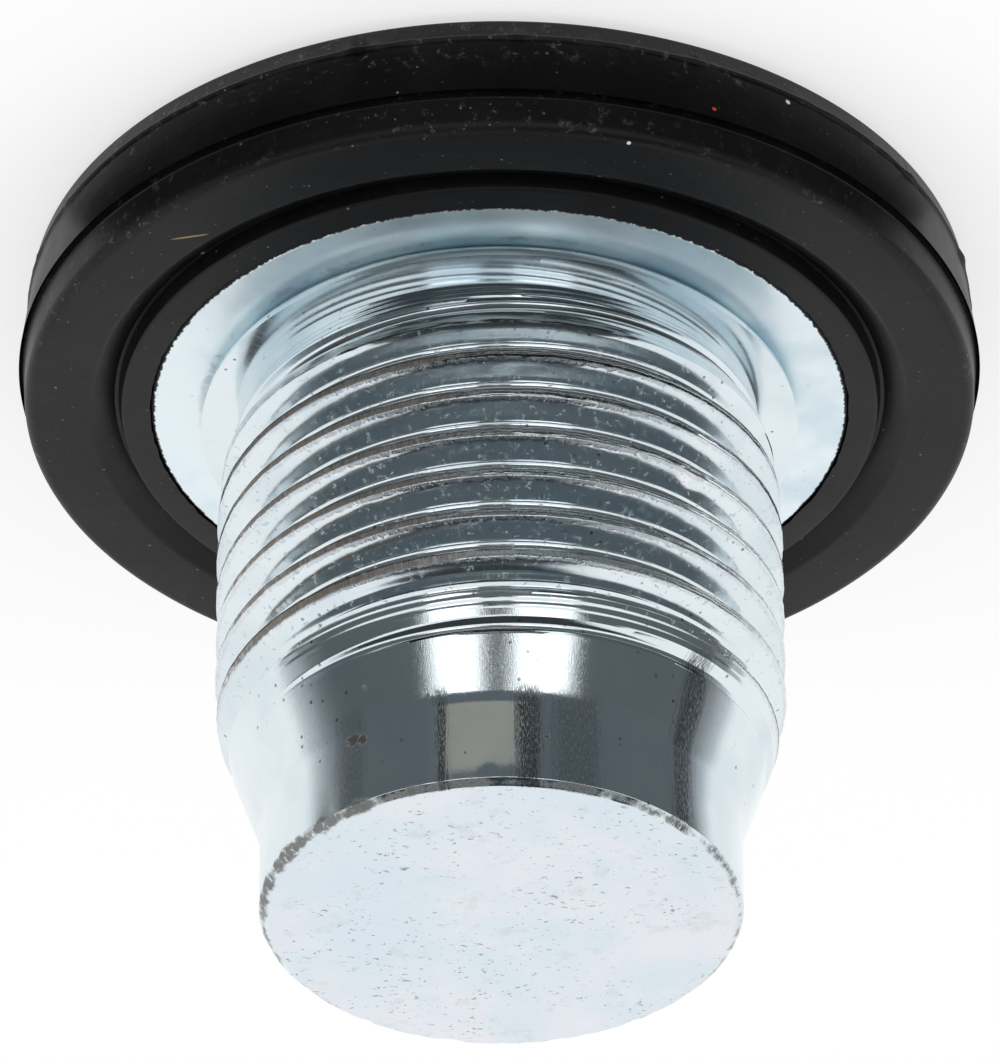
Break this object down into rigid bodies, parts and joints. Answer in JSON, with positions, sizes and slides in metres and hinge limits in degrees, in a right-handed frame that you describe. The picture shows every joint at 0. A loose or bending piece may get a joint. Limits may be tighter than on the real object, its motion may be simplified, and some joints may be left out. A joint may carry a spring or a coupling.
{
  "type": "oil drain plug",
  "caption": "Flanged steel oil drain plug with a pilot point, a fine right-hand thread and a black rubber sealing ring moulded on its flange.",
  "frame": {"origin": "centre of the flange's back face, on which the plug stands", "axes": "+Z along the plug's axis, from the flange towards the pilot point"},
  "size_m": [0.0306, 0.0306, 0.0238],
  "materials": {
    "plated_steel": "bright zinc plating, worn dull along the thread crests",
    "seal_rubber": "matte moulded black rubber"
  },
  "bodies": {
    "root": {"plug_body": "plated_steel", "sealing_ring": "seal_rubber"}
  },
  "joints": []
}
